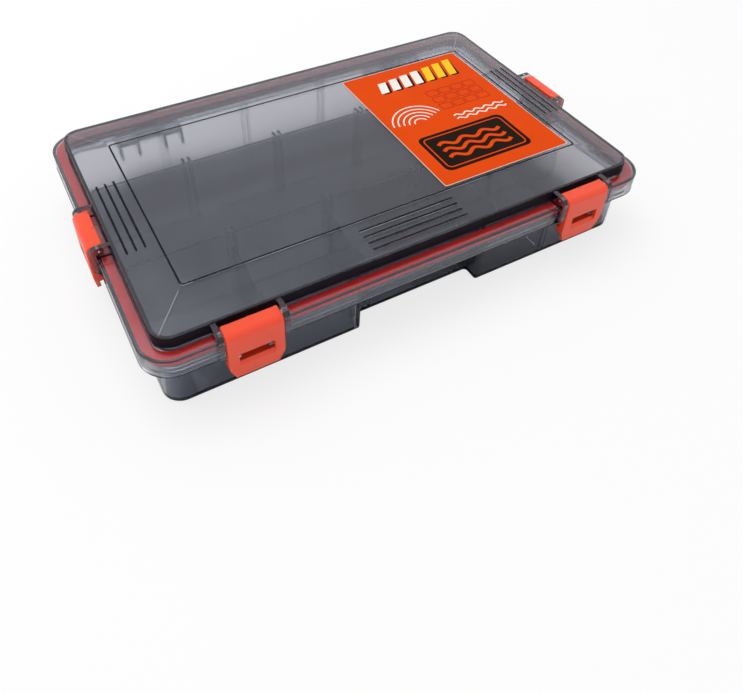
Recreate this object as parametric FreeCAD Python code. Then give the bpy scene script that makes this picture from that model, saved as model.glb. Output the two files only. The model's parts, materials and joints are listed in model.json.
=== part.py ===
"""Flat waterproof tackle case: compartment tray, hinged lid with a silicone seal, four swing latches.

Millimetres. +X runs along the long front, -Y is the front, +Z is up. The origin is the middle of the
tray's underside. Every piece is written to parts/NODE.step.
"""
import FreeCAD, Part
import math
import os

V = FreeCAD.Vector

# Lid rim, seen from above
rim_length = 275.0
rim_width = 174.5
rim_corner = 14.7
rim_edge_round = 0.8

# Tray
tray_inset = 6.8
tray_corner = 9.3
tray_wall = 2.0
tray_floor = 2.2
tray_height = 33.8
tray_bottom_round = 1.5
tray_flange_height = 28.8
tray_flange_thick = 1.8
seal_rib_thick = 1.6
grip_width = 68.4
grip_depth = 8.5
grip_round = 1.6

# Compartments
lane_pitch = 60.0
partition_thick = 1.2
partition_rise = 5.9
partition_end_gap = 0.8
partition_end_round = 2.5
slot_pitch = 52.0
slot_width = 2.0
slot_rib_thick = 1.2
slot_rib_proud = 1.6
slot_rib_below_top = 0.8
slot_tooth_rise = 2.2
divider_thick = 1.4
divider_below_top = 2.3
divider_end_gap = 0.3
divider_notch_width = 16.0
divider_notch_depth = 3.0
divider_round = 1.2

# Lid
lid_wall = 1.8
lid_roof = 2.0
lid_flange_width = 7.0
skirt_lap = 0.6
dome_corner = 8.8
dome_rise = 6.5
dome_edge_round = 0.7
crown_rise = 1.2
panel_band_side = 19.7
panel_band_front = 24.2
panel_corner = 1.6
panel_groove_width = 0.9
panel_groove_depth = 0.6
tongue_gap = 0.6

# Short grooves cut in the bands round the panel
grip_groove_length = 53.0
grip_groove_width = 1.1
grip_groove_depth = 0.6
grip_groove_pitch = 4.25
grip_groove_start = 6.1
front_groove_count = 4
side_groove_count = 3

# Seal and printed card
gasket_thick = 2.6
gasket_side_gap = 0.2
seal_gap = 0.3
rim_gap = 0.55
card_length = 80.0
card_thick = 0.4
card_side_margin = 2.8
card_front_margin = 1.8
card_corner = 1.5

# Latches, their ears on the lid and their catches on the tray
latch_width = 26.0
latch_side_gap = 0.6
latch_from_end = 46.0
latch_pivot_inset = 1.75
latch_pivot_rise = 2.8
latch_head_radius = 2.5
latch_head_back = 2.3
latch_head_rise = 2.6
latch_face_out = 3.75
latch_plate = 2.0
latch_knee_round = 3.3
latch_drop = 26.0
latch_toe_in = 1.0
latch_toe_height = 9.0
latch_lip_reach = 3.0
latch_lip_thick = 3.2
latch_cheek_thick = 2.0
latch_cheek_depth = 1.2
latch_corner_cut_width = 3.0
latch_corner_cut_height = 7.5
latch_edge_round = 0.6
latch_back_round = 0.4
latch_toe_round = 4.0
latch_tip_round = 0.5
latch_head_flat = 0.3
latch_nub_width = 1.4
latch_nub_rise = 0.35
latch_nub_setback = 0.4
latch_nub_flat = 0.4
latch_nub_length = 2.0
latch_nub_sink = 0.1
window_width = 16.5
window_height = 5.9
window_sill = 0.5
window_round = 0.6
window_ramp_depth = 1.3
window_ramp_drop = 2.4
ear_thick = 2.6
ear_top_rise = 3.3
ear_out = 2.9
ear_round = 3.6
ear_skin = 0.9
catch_width = 4.0
catch_spread = 17.0
catch_thick = 2.5
catch_tip_gap = 1.1
catch_tip_flat = 1.8
catch_gap = 0.3
hook_gap = 0.4
latch_pin_radius = 1.0
latch_pin_fit = 0.06

# Hinges
hinge_from_end = 53.5
hinge_axis_out = 3.35
hinge_axis_height = 22.5
hinge_radius = 3.2
hinge_lug_width = 12.0
hinge_lug_cheek = 1.6
hinge_knuckle_width = 13.4
hinge_side_gap = 0.3
hinge_lug_root = 9.5
hinge_lug_rise = 1.0
hinge_web_top = 8.0
hinge_pin_radius = 1.25
hinge_pin_fit = 0.06
pin_seat_fit = 0.02
pin_end_inset = 0.6

# Embedding of one moulded feature in the wall that carries it, and the shortest edge worth drawing
root = 0.5
hair = 1e-3

# Sizes worked out from the ones above
rim_half_x = rim_length / 2
rim_half_y = rim_width / 2
tray_half_x = rim_half_x - tray_inset
tray_half_y = rim_half_y - tray_inset
cavity_half_x = tray_half_x - tray_wall
cavity_half_y = tray_half_y - tray_wall
dome_half_x = rim_half_x - lid_flange_width
dome_half_y = rim_half_y - lid_flange_width
panel_half_x = dome_half_x - panel_band_side
panel_half_y = dome_half_y - panel_band_front
partition_top = tray_height + partition_rise
slot_rib_top = tray_height - slot_rib_below_top
skirt_low = tray_flange_height - skirt_lap
gasket_low = tray_height + seal_gap
lid_flange_low = gasket_low + gasket_thick
lid_flange_top = lid_flange_low + lid_wall
dome_edge = lid_flange_top + dome_rise
panel_top = dome_edge + crown_rise
latch_pivot_z = lid_flange_top + latch_pivot_rise
latch_plate_in = latch_face_out - latch_plate
latch_bottom = latch_pivot_z - latch_drop
catch_low = skirt_low - catch_gap - catch_thick
lip_top = catch_low - hook_gap
window_low = lip_top + window_sill
lane_count = max(1, round(2 * cavity_half_y / lane_pitch))
slot_count = int(2 * cavity_half_x // slot_pitch)
partition_places = [lane_pitch * (i - (lane_count - 2) / 2) for i in range(lane_count - 1)]
slot_places = [slot_pitch * (i - (slot_count - 1) / 2) for i in range(slot_count)]
slot_rib_shift = (slot_width + slot_rib_thick) / 2

# Each latch: name, turn about Z from the front, and the point on the skirt's face where it stands
latch_places = [
    ("front_left", 0, V(latch_from_end - rim_half_x, -rim_half_y, 0)),
    ("front_right", 0, V(rim_half_x - latch_from_end, -rim_half_y, 0)),
    ("side_left", -90, V(-rim_half_x, 0, 0)),
    ("side_right", 90, V(rim_half_x, 0, 0)),
]
hinge_places = [("left", hinge_from_end - rim_half_x), ("right", rim_half_x - hinge_from_end)]


def outline(points, place):
    """Face inside a closed outline of (a, b, corner radius) points; place makes (a, b) a 3-D point."""
    ends = []
    arcs = []
    for i, (a, b, radius) in enumerate(points):
        here = V(a, b, 0)
        back = (V(*points[i - 1][:2], 0) - here).normalize()
        ahead = (V(*points[(i + 1) % len(points)][:2], 0) - here).normalize()
        if radius == 0:
            ends.append((here, here))
            arcs.append(None)
            continue
        half = back.getAngle(ahead) / 2
        centre = here + (back + ahead).normalize() * (radius / math.sin(half))
        reach = radius / math.tan(half)
        middle = centre + (here - centre).normalize() * radius
        ends.append((here + back * reach, here + ahead * reach))
        arcs.append(middle)
    edges = []
    for i, (first, last) in enumerate(ends):
        if arcs[i] is not None:
            edges.append(Part.Arc(*(place(p.x, p.y) for p in (first, arcs[i], last))).toShape())
        ahead = ends[(i + 1) % len(ends)][0]
        if last.distanceToPoint(ahead) > hair / 2:
            edges.append(Part.makeLine(place(last.x, last.y), place(ahead.x, ahead.y)))
    return Part.Face(Part.Wire(edges))


def rectangle(half_x, half_y, corner, z):
    """Level face: a rectangle with round corners, centred on the Z axis."""
    points = [(x * half_x, y * half_y, corner) for x, y in ((-1, -1), (1, -1), (1, 1), (-1, 1))]
    return outline(points, lambda a, b: V(a, b, z))


def block(half_x, half_y, corner, low, high):
    """Upright block with round corners between two heights."""
    return rectangle(half_x, half_y, corner, low).extrude(V(0, 0, high - low))


def ring(outer, inner, low, high):
    """Upright ring between two (half_x, half_y, corner) outlines."""
    return block(*outer, low, high).cut(block(*inner, low, high))


def box(low, high):
    """Box between two corner points."""
    size = high - low
    return Part.makeBox(size.x, size.y, size.z, low)


def section(points, width):
    """Bar along X, centred on X=0, with a section of (distance outward, z, corner radius) points."""
    face = outline(points, lambda out, z: V(-width / 2, -out, z))
    return face.extrude(V(width, 0, 0))


def rod(radius, length, out, z, middle=0.0):
    """Round bar along X, centred on X=middle, at a distance outward from the skirt's face."""
    return Part.makeCylinder(radius, length, V(middle - length / 2, -out, z), V(1, 0, 0))


def stand(shape, turn, point):
    """Copy of a shape made at the origin, turned about Z and moved to its place on the rim."""
    placed = shape.copy()
    placed.rotate(V(0, 0, 0), V(0, 0, 1), turn)
    placed.translate(point)
    return placed


def merged(shapes):
    """One solid made of overlapping shapes."""
    return shapes[0].fuse(shapes[1:]).removeSplitter()


def save(node, shape):
    """Write a node's solid or solids."""
    os.makedirs("parts", exist_ok=True)
    if not shape.isValid():
        raise ValueError(node + " is not a valid shape")
    shape.exportStep("parts/" + node + ".step")


def inset(outer, amount):
    """A (half_x, half_y, corner) outline drawn in by an amount on every side."""
    return tuple(size - amount for size in outer)


rim_outline = (rim_half_x, rim_half_y, rim_corner)
skirt_inner = inset(rim_outline, lid_wall)
tray_outline = (tray_half_x, tray_half_y, tray_corner)
dome_outline = (dome_half_x, dome_half_y, dome_corner)
dome_inner = inset(dome_outline, lid_wall)


# ---------------------------------------------------------------- tray

def tray_face(wall, z):
    """The tray's plan with the finger grip let into its front, drawn in by a wall."""
    half_x, half_y, corner = inset(tray_outline, wall)
    grip_x = grip_width / 2 + wall
    grip_y = half_y - grip_depth
    points = [
        (-half_x, -half_y, corner),
        (-grip_x, -half_y, grip_round),
        (-grip_x, -grip_y, grip_round),
        (grip_x, -grip_y, grip_round),
        (grip_x, -half_y, grip_round),
        (half_x, -half_y, corner),
        (half_x, half_y, corner),
        (-half_x, half_y, corner),
    ]
    return outline(points, lambda a, b: V(a, b, z))


def tray_shell():
    """Walls, floor, outward flange and the rib that presses on the seal."""
    body = tray_face(0, 0).extrude(V(0, 0, tray_height))
    bottom = [edge for edge in body.Edges if edge.BoundBox.ZMax < 1e-6]
    body = body.makeFillet(tray_bottom_round, bottom)
    flange = block(*inset(skirt_inner, rim_gap), tray_flange_height, tray_flange_height + tray_flange_thick)
    cavity = tray_face(tray_wall, tray_floor).extrude(V(0, 0, tray_height))
    middle = tuple((inner + outer) / 2 for inner, outer in zip(dome_outline, skirt_inner))
    rib_low = tray_flange_height + root
    rib = ring(inset(middle, -seal_rib_thick / 2), inset(middle, seal_rib_thick / 2), rib_low, tray_height)
    return body.fuse([flange, rib]).cut(cavity)


def partitions():
    """Walls along the tray, joined to its ends below the rim and rising free into the lid above it."""
    reach = cavity_half_x + root
    free = cavity_half_x - partition_end_gap
    low = tray_floor - root
    points = [
        (-reach, low, 0),
        (reach, low, 0),
        (reach, slot_rib_top, 0),
        (free, slot_rib_top, 0),
        (free, partition_top, partition_end_round),
        (-free, partition_top, partition_end_round),
        (-free, slot_rib_top, 0),
        (-reach, slot_rib_top, 0),
    ]
    walls = []
    for y in partition_places:
        face = outline(points, lambda x, z: V(x, y - partition_thick / 2, z))
        walls.append(face.extrude(V(0, partition_thick, 0)))
    return walls


def slot_ribs():
    """Pairs of upright ribs that hold the dividers, on the walls and on the partitions."""
    tooth_top = partition_top + slot_tooth_rise
    near_walls = tray_face(tray_wall - root, tray_floor - root).cut(
        tray_face(tray_wall + slot_rib_proud, tray_floor - root)
    )
    near_walls = near_walls.extrude(V(0, 0, slot_rib_top - tray_floor + root))
    half = slot_rib_thick / 2
    reach = partition_thick / 2 + slot_rib_proud
    ribs = []
    for slot in slot_places:
        for x in (slot - slot_rib_shift, slot + slot_rib_shift):
            bar = box(V(x - half, -tray_half_y, 0), V(x + half, tray_half_y, slot_rib_top))
            ribs += bar.common(near_walls).Solids
            ribs += [
                box(V(x - half, y - reach, tray_floor - root), V(x + half, y + reach, tooth_top))
                for y in partition_places
            ]
    return ribs


def catch():
    """Wedge lug under the tray's flange that a latch hooks under."""
    tip = latch_plate_in - catch_tip_gap
    wall = -tray_inset
    top = skirt_low - catch_gap
    inner = tip - catch_tip_flat
    points = [
        (wall - root, tray_flange_height + root, 0),
        (-lid_wall - rim_gap, tray_flange_height + root, 0),
        (-lid_wall - rim_gap, top, 0),
        (0, top, 0),
        (tip, catch_low + catch_thick / 2, 0),
        (tip, catch_low, 0),
        (inner, catch_low, 0),
        (wall, catch_low - (inner - wall), 0),
        (wall - root, catch_low - (inner - wall), 0),
    ]
    return section(points, catch_width)


def tray_catches():
    """Two catches behind each latch."""
    lug = catch()
    lugs = []
    for _, turn, point in latch_places:
        for side in (-1, 1):
            moved = lug.copy()
            moved.translate(V(side * catch_spread / 2, 0, 0))
            lugs.append(stand(moved, turn, point))
    return lugs


def hinge_lug():
    """Eye for the hinge pin behind the tray's back wall, carried by a web and a cheek at each end."""
    wall = -tray_inset - root
    eye_top = hinge_axis_height + hinge_radius
    top = eye_top + hinge_lug_rise
    upper = [
        (wall, top, 0),
        (wall + root, top, 0),
        (hinge_axis_out, eye_top, 0),
    ]
    web = upper + [(hinge_axis_out, eye_top - hinge_lug_cheek, 0), (wall, top - hinge_lug_cheek, 0)]
    cheek = upper + [
        (hinge_axis_out, hinge_axis_height - hinge_radius, 0),
        (wall + root, eye_top - hinge_lug_root, 0),
        (wall, eye_top - hinge_lug_root, 0),
    ]
    eye = rod(hinge_radius, hinge_lug_width, hinge_axis_out, hinge_axis_height)
    lug = eye.fuse(section(web, hinge_lug_width))
    for side in (-1, 1):
        plate = section(cheek, hinge_lug_cheek)
        plate.translate(V(side * (hinge_lug_width - hinge_lug_cheek) / 2, 0, 0))
        lug = lug.fuse(plate)
    return lug


def hinge_lugs():
    """Two lugs for each hinge, one each side of the lid's knuckle."""
    shift = hinge_knuckle_width / 2 + hinge_side_gap + hinge_lug_width / 2
    lugs = []
    for _, middle in hinge_places:
        for side in (-1, 1):
            lugs.append(stand(hinge_lug(), 180, V(middle + side * shift, rim_half_y, 0)))
    return lugs


def hinge_span():
    """Length of one hinge along its axis."""
    return hinge_knuckle_width + 2 * (hinge_side_gap + hinge_lug_width)


def hinge_bores(radius, length):
    """Round bars on the hinge axis, one for each hinge."""
    bar = rod(radius, length, hinge_axis_out, hinge_axis_height)
    return [stand(bar, 180, V(middle, rim_half_y, 0)) for _, middle in hinge_places]


def base_tray():
    """Tray with its partitions, slot ribs, latch catches and hinge lugs, moulded in one."""
    tray = merged([tray_shell()] + partitions() + slot_ribs() + tray_catches() + hinge_lugs())
    return tray.cut(hinge_bores(hinge_pin_radius + pin_seat_fit, hinge_span() + root))


# ---------------------------------------------------------------- loose pieces in the tray

def lane_span(lane, x):
    """Front and back face of a lane at a place along the tray."""
    front_wall = -cavity_half_y
    if abs(x) < grip_width / 2 + tray_wall:
        front_wall += grip_depth
    faces = [front_wall] + partition_places + [cavity_half_y]
    front = faces[lane] + (partition_thick / 2 if lane > 0 else 0)
    back = faces[lane + 1] - (partition_thick / 2 if lane < lane_count - 1 else 0)
    return front, back


def divider(lane, x):
    """Plate that drops into a pair of slots across a lane, with a finger notch in its top edge."""
    front, back = lane_span(lane, x)
    front += divider_end_gap
    back -= divider_end_gap
    top = tray_height - divider_below_top
    middle = (front + back) / 2
    notch = min(divider_notch_width, (back - front) / 2) / 2
    slope = divider_notch_depth
    points = [
        (front, tray_floor, divider_round),
        (back, tray_floor, divider_round),
        (back, top, divider_round),
        (middle + notch, top, divider_round),
        (middle + notch - slope, top - slope, divider_round),
        (middle - notch + slope, top - slope, divider_round),
        (middle - notch, top, divider_round),
        (front, top, divider_round),
    ]
    face = outline(points, lambda y, z: V(x - divider_thick / 2, y, z))
    return face.extrude(V(divider_thick, 0, 0))


def divider_places():
    """Lane and place of each divider: every slot of the front lane, the last slot of the others."""
    front = [(0, x) for x in slot_places]
    return front + [(lane, slot_places[-1]) for lane in range(1, lane_count)]


def hinge_pin(middle):
    """Pin of one hinge, held in the tray's lugs."""
    bar = rod(hinge_pin_radius, hinge_span() - 2 * pin_end_inset, hinge_axis_out, hinge_axis_height)
    return stand(bar, 180, V(middle, rim_half_y, 0))


# ---------------------------------------------------------------- lid

def hip_roof(drop):
    """Solid under the panel and the four bands that slope down from it, lowered by a drop."""
    fall = panel_top - lid_flange_low
    wide_x = panel_half_x + panel_band_side * fall / crown_rise
    wide_y = panel_half_y + panel_band_front * fall / crown_rise
    roof = Part.makeWedge(
        -wide_x, -fall, -wide_y, -panel_half_y, -panel_half_x,
        wide_x, 0, wide_y, panel_half_y, panel_half_x,
    )
    return stand_up(roof, panel_top - drop)


def stand_up(shape, height):
    """Copy of a shape made along Y, turned so that Y becomes Z, and lifted to a height."""
    upright = shape.copy()
    upright.rotate(V(0, 0, 0), V(1, 0, 0), 90)
    upright.translate(V(0, 0, height))
    return upright


def dome(plan, drop):
    """Raised middle of the lid, or the hollow under it."""
    return block(*plan, lid_flange_low - root, panel_top).common(hip_roof_deep(drop))


def hip_roof_deep(drop):
    """The hip roof with an upright foot, so that it reaches below the lid's flange."""
    foot = block(2 * rim_half_x, 2 * rim_half_y, 0, lid_flange_low - 2 * lid_roof, lid_flange_low - drop)
    return hip_roof(drop).fuse(foot)


def dome_block():
    """The dome's outside, with its top edge rounded."""
    solid = dome(dome_outline, 0).removeSplitter()
    slope_edges = [
        edge for edge in solid.Edges
        if edge.BoundBox.ZMax < panel_top - crown_rise / 2 and edge.BoundBox.ZMin > lid_flange_top
        and edge.BoundBox.ZLength < crown_rise / 2
    ]
    return solid.makeFillet(dome_edge_round, slope_edges)


def band_groove(length, width, depth, surface):
    """Cutter with round ends for a groove along X, in a surface at a height."""
    return block(length / 2, width / 2, width / 2 - hair, surface - depth, surface + crown_rise)


def band_grooves():
    """Groups of short grooves in the front band and in both side bands."""
    cutters = []
    for i in range(front_groove_count):
        run = grip_groove_start + grip_groove_pitch * i
        surface = panel_top - crown_rise * run / panel_band_front
        cutter = band_groove(grip_groove_length, grip_groove_width, grip_groove_depth, surface)
        cutters.append(stand(cutter, 0, V(0, -panel_half_y - run, 0)))
    for i in range(side_groove_count):
        run = grip_groove_start + grip_groove_pitch * i
        surface = panel_top - crown_rise * run / panel_band_side
        cutter = band_groove(grip_groove_length, grip_groove_width, grip_groove_depth, surface)
        for side in (-1, 1):
            cutters.append(stand(cutter, 90, V(side * (panel_half_x + run), 0, 0)))
    return cutters


def panel_groove():
    """Cutter for the groove that frames the lid's flat panel."""
    half = panel_groove_width / 2
    plan = (panel_half_x, panel_half_y, panel_corner)
    return ring(inset(plan, -half), inset(plan, half), panel_top - panel_groove_depth, panel_top + root)


def ear():
    """Ear that holds a latch's pin, standing on the flange and running down the skirt."""
    high = latch_pivot_z + ear_top_rise
    points = [
        (-lid_flange_width - root, lid_flange_top - root, 0),
        (-lid_flange_width - root, high - root, 0),
        (-lid_flange_width + root, high - root / 2, 0),
        (ear_out, high, ear_round),
        (ear_out, skirt_low + ear_out, ear_out / 2),
        (0, skirt_low, 0),
        (-ear_skin, skirt_low, 0),
        (-ear_skin, lid_flange_top - root, 0),
    ]
    return section(points, ear_thick)


def ear_pair():
    """Both ears of one latch, with the pin's bore: blind in one ear, through the other."""
    shift = latch_width / 2 + latch_side_gap + ear_thick / 2
    left, right = ear(), ear()
    left.translate(V(-shift, 0, 0))
    right.translate(V(shift, 0, 0))
    return [left, right]


def latch_pin_bar(radius, extra):
    """Round bar on a latch's axis, from inside the blind ear to the far face of the other ear."""
    first = -latch_width / 2 - latch_side_gap - ear_thick / 2
    last = latch_width / 2 + latch_side_gap + ear_thick + extra
    return rod(radius, last - first, -latch_pivot_inset, latch_pivot_z, (first + last) / 2)


def hinge_knuckle():
    """Knuckle that hangs from the lid's back skirt, between the tray's lugs."""
    points = [
        (-ear_skin, skirt_low, 0),
        (hinge_axis_out - hinge_radius, hinge_axis_height, 0),
        (hinge_axis_out + hinge_radius, hinge_axis_height, 0),
        (hinge_axis_out + hinge_radius, hinge_axis_height + hinge_radius / 2, 0),
        (0, skirt_low + hinge_web_top, 0),
        (-ear_skin, skirt_low + hinge_web_top, 0),
    ]
    eye = rod(hinge_radius, hinge_knuckle_width, hinge_axis_out, hinge_axis_height)
    return section(points, hinge_knuckle_width).fuse(eye)


def lid_shell():
    """Clear lid: skirt, flange, domed middle, seal channel, latch ears and hinge knuckles."""
    rim = block(*rim_outline, skirt_low, lid_flange_top)
    top = [edge for edge in rim.Edges if edge.BoundBox.ZMin > lid_flange_top - 1e-6]
    rim = rim.makeFillet(rim_edge_round, top)
    shell = rim.fuse(dome_block())
    shell = shell.cut(block(*skirt_inner, skirt_low - root, lid_flange_low))
    tongue_low = tray_height + tongue_gap
    shell = shell.fuse(ring(dome_outline, dome_inner, tongue_low, lid_flange_low + root))
    hollow = dome(dome_inner, lid_roof).fuse(block(*dome_inner, tongue_low - root, lid_flange_low))
    shell = shell.cut(hollow)
    added = [stand(part, turn, point) for _, turn, point in latch_places for part in ear_pair()]
    added += [stand(hinge_knuckle(), 180, V(middle, rim_half_y, 0)) for _, middle in hinge_places]
    shell = merged([shell] + added)
    pin_bore = latch_pin_bar(latch_pin_radius + pin_seat_fit, root)
    cutters = [stand(pin_bore, turn, point) for _, turn, point in latch_places]
    cutters += hinge_bores(hinge_pin_radius + hinge_pin_fit, hinge_knuckle_width + root)
    return shell.cut(cutters + band_grooves() + [panel_groove()])


def lid_gasket():
    """Silicone seal that fills the channel between the tongue and the skirt."""
    outer = inset(skirt_inner, gasket_side_gap)
    inner = inset(dome_outline, -gasket_side_gap)
    return ring(outer, inner, gasket_low, lid_flange_low)


def panel_card():
    """Thin printed card on the right of the panel."""
    half_y = panel_half_y - card_front_margin
    plate = block(card_length / 2, half_y, card_corner, panel_top, panel_top + card_thick)
    plate.translate(V(panel_half_x - card_side_margin - card_length / 2, 0, 0))
    return plate


# ---------------------------------------------------------------- latches

def latch_profile():
    """Section of the latch: pivot head, face plate, hooked lip and finger tab."""
    back = -latch_pivot_inset - latch_head_back
    head_top = latch_pivot_z + latch_head_rise
    head_low = latch_pivot_z - latch_head_radius
    toe = latch_bottom + latch_toe_height
    lip_low = lip_top - latch_lip_thick
    return [
        (back, head_top, latch_back_round),
        (latch_face_out, head_top, latch_knee_round),
        (latch_face_out, toe, latch_toe_round),
        (latch_face_out - latch_toe_in, latch_bottom, latch_tip_round),
        (latch_plate_in - latch_toe_in, latch_bottom, latch_tip_round),
        (latch_plate_in, lip_low - latch_lip_reach / 2, 0),
        (latch_plate_in - latch_lip_reach, lip_low, 0),
        (latch_plate_in - latch_lip_reach, lip_top, 0),
        (latch_plate_in, lip_top, 0),
        (latch_plate_in, head_low - latch_head_radius / 2, 0),
        (latch_plate_in - latch_head_radius / 2, head_low, 0),
        (-latch_pivot_inset, head_low, 0),
        (back, head_low, latch_head_radius - latch_head_flat),
    ]


def latch():
    """Swing latch, made at the origin of its place on the rim."""
    body = section(latch_profile(), latch_width)
    cheek_low = lip_top - latch_lip_thick
    cheek = [
        (latch_plate_in - latch_cheek_depth, latch_pivot_z - latch_head_radius, 0),
        (latch_plate_in + root, latch_pivot_z - latch_head_radius, 0),
        (latch_plate_in + root, cheek_low, 0),
        (latch_plate_in - latch_cheek_depth, cheek_low, 0),
    ]
    pieces = [body]
    for side in (-1, 1):
        bar = section(cheek, latch_cheek_thick)
        bar.translate(V(side * (latch_width - latch_cheek_thick) / 2, 0, 0))
        pieces.append(bar)
    body = merged(pieces)
    body = body.cut([latch_window(), window_ramp()] + latch_corner_cuts())
    body = body.makeFillet(latch_edge_round, latch_face_edges(body))
    nubs = [latch_nub(side * (latch_width - latch_nub_width - 2 * latch_edge_round) / 2) for side in (-1, 0, 1)]
    bore = rod(latch_pin_radius + latch_pin_fit, latch_width + root, -latch_pivot_inset, latch_pivot_z)
    return merged([body] + nubs).cut(bore)


def latch_window():
    """Cutter for the window through the face plate, above the lip."""
    half = window_width / 2
    high = window_low + window_height
    points = [(-half, window_low), (half, window_low), (half, high), (-half, high)]
    deep = latch_face_out + root
    face = outline([(x, z, window_round) for x, z in points], lambda x, z: V(x, -deep, z))
    return face.extrude(V(0, 2 * deep, 0))


def window_ramp():
    """Cutter that slants the outer part of the window's sill down the face plate."""
    inner = latch_face_out - window_ramp_depth
    slope = root * window_ramp_drop / window_ramp_depth
    points = [
        (inner, window_low, 0),
        (latch_face_out + root, window_low - window_ramp_drop - slope, 0),
        (latch_face_out + root, window_low + window_round, 0),
        (inner, window_low + window_round, 0),
    ]
    return section(points, window_width)


def latch_corner_cuts():
    """Cutters for the slanting lower corners of the finger tab."""
    cutters = []
    deep = latch_face_out + root
    for side in (-1, 1):
        edge = side * (latch_width / 2 + root)
        inner = side * (latch_width / 2 - latch_corner_cut_width)
        slope = root * latch_corner_cut_height / latch_corner_cut_width
        points = [
            (inner, latch_bottom - slope, 0),
            (edge, latch_bottom - slope, 0),
            (edge, latch_bottom + latch_corner_cut_height + slope, 0),
            (side * latch_width / 2, latch_bottom + latch_corner_cut_height, 0),
            (inner, latch_bottom, 0),
        ]
        face = outline(points, lambda x, z: V(x, -deep, z))
        cutters.append(face.extrude(V(0, 2 * deep, 0)))
    return cutters


def latch_face_edges(body):
    """Upright outer edges of the latch's front face, above its slanting corners."""
    edges = []
    for edge in body.Edges:
        bounds = edge.BoundBox
        upright = bounds.ZLength > latch_drop / 3 and bounds.XLength < 1e-6 and bounds.YLength < 1e-6
        if upright and abs(bounds.YMin + latch_face_out) < 1e-6:
            edges.append(edge)
    return edges


def latch_nub(x):
    """Small raised stop on the top of the latch's back edge."""
    back = -latch_pivot_inset - latch_head_back + latch_nub_setback
    front = back + latch_nub_length
    top = latch_pivot_z + latch_head_rise
    points = [
        (back, top - root, 0),
        (back, top + latch_nub_rise, 0),
        (back + latch_nub_flat, top + latch_nub_rise, 0),
        (front, top - latch_nub_sink, 0),
        (front, top - root, 0),
    ]
    nub = section(points, latch_nub_width)
    nub.translate(V(x, 0, 0))
    return nub


# ---------------------------------------------------------------- write every node

save("base_tray", base_tray())
for number, (lane, x) in enumerate(divider_places(), 1):
    save(f"divider_{number}", divider(lane, x))
for name, middle in hinge_places:
    save("hinge_pin_" + name, hinge_pin(middle))
save("lid_shell", lid_shell())
save("lid_gasket", lid_gasket())
save("panel_card", panel_card())
for name, turn, point in latch_places:
    save("latch_" + name, stand(latch(), turn, point))
    save("latch_pin_" + name, stand(latch_pin_bar(latch_pin_radius, -pin_end_inset), turn, point))
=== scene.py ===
"""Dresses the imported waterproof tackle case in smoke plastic, silicone, card and steel.

Metres. +X runs along the long front, -Y is the front and +Z is up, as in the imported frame. Sizes in
the case's classes are millimetres, because it was drawn in them, and those in the finishes metres.
"""

import json
import logging
import math
from dataclasses import dataclass
from enum import Enum
from typing import Sequence

import bmesh
import bpy
from mathutils import Matrix, Vector

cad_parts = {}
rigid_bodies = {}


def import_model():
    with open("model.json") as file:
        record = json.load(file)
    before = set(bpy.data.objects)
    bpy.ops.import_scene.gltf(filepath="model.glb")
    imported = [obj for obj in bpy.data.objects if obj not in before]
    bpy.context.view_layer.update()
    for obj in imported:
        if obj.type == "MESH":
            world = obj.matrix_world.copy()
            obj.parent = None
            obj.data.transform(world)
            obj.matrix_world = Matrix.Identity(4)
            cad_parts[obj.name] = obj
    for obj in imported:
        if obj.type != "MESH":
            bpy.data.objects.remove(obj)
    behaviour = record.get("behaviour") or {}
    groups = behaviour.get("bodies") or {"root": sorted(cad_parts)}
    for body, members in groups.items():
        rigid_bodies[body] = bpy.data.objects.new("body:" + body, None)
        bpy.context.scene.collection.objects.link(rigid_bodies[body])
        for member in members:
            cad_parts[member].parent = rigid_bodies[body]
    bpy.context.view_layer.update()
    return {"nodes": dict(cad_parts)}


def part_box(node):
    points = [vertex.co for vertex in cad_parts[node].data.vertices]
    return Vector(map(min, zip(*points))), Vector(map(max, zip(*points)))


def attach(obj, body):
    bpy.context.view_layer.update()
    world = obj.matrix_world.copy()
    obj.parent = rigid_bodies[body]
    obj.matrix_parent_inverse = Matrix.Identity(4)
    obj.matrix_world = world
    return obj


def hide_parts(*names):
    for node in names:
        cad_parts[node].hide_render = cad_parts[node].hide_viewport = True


logging.basicConfig(level=logging.INFO, format="%(message)s")
log = logging.getLogger("tackle_case")

MM = 0.001
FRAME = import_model()

Colour = tuple[float, float, float]
Point = tuple[float, float, float]
Flat = tuple[float, float]
Socket = bpy.types.NodeSocket
Material = bpy.types.Material
Mesh = bpy.types.Mesh
Piece = bpy.types.Object

WHITE = (1.0, 1.0, 1.0, 1.0)

# Points of a mesh that are nearer than this, in metres, are made one.
WELD = 1e-6

# Nearly all of a noise pattern's values lie between these.
NOISE_SPAN = (0.3, 0.7)

# Sizes of the forms that aren't lengths.
PLAIN = frozenset(("Count", "Growth", "Sweep", "Waves", "Columns", "Rows"))

# How finely the round and wavy stretches of each form are divided.
CORNER_FACETS = 6
RIM_FACETS = 12
EDGE_FACETS = 4
PIN_FACETS = 28
ARC_POINTS = 40
WAVE_POINTS = 72

# Points along a pin: its two ends and the inner edges of their chamfers.
PIN_STATIONS = 4

# How much of its place a printed cell fills, along and up.
CELL_FILL = (0.84, 0.76)


class Side(Enum):
    """Where a latch stands on the rim."""

    FRONT_LEFT = "front_left"
    FRONT_RIGHT = "front_right"
    SIDE_LEFT = "side_left"
    SIDE_RIGHT = "side_right"


class Hand(Enum):
    """Which end of the case a hinge is near."""

    LEFT = "left"
    RIGHT = "right"


class Pattern(Enum):
    """What a printed motif is made of."""

    CELLS = "cells"
    WAVES = "waves"
    RIPPLES = "ripples"


class Layer(Enum):
    """Where an ink lies: on the orange print, or over another ink."""

    LOWER = "lower"
    UPPER = "upper"


# ------------------------------------------------------------------ node trees


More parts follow.
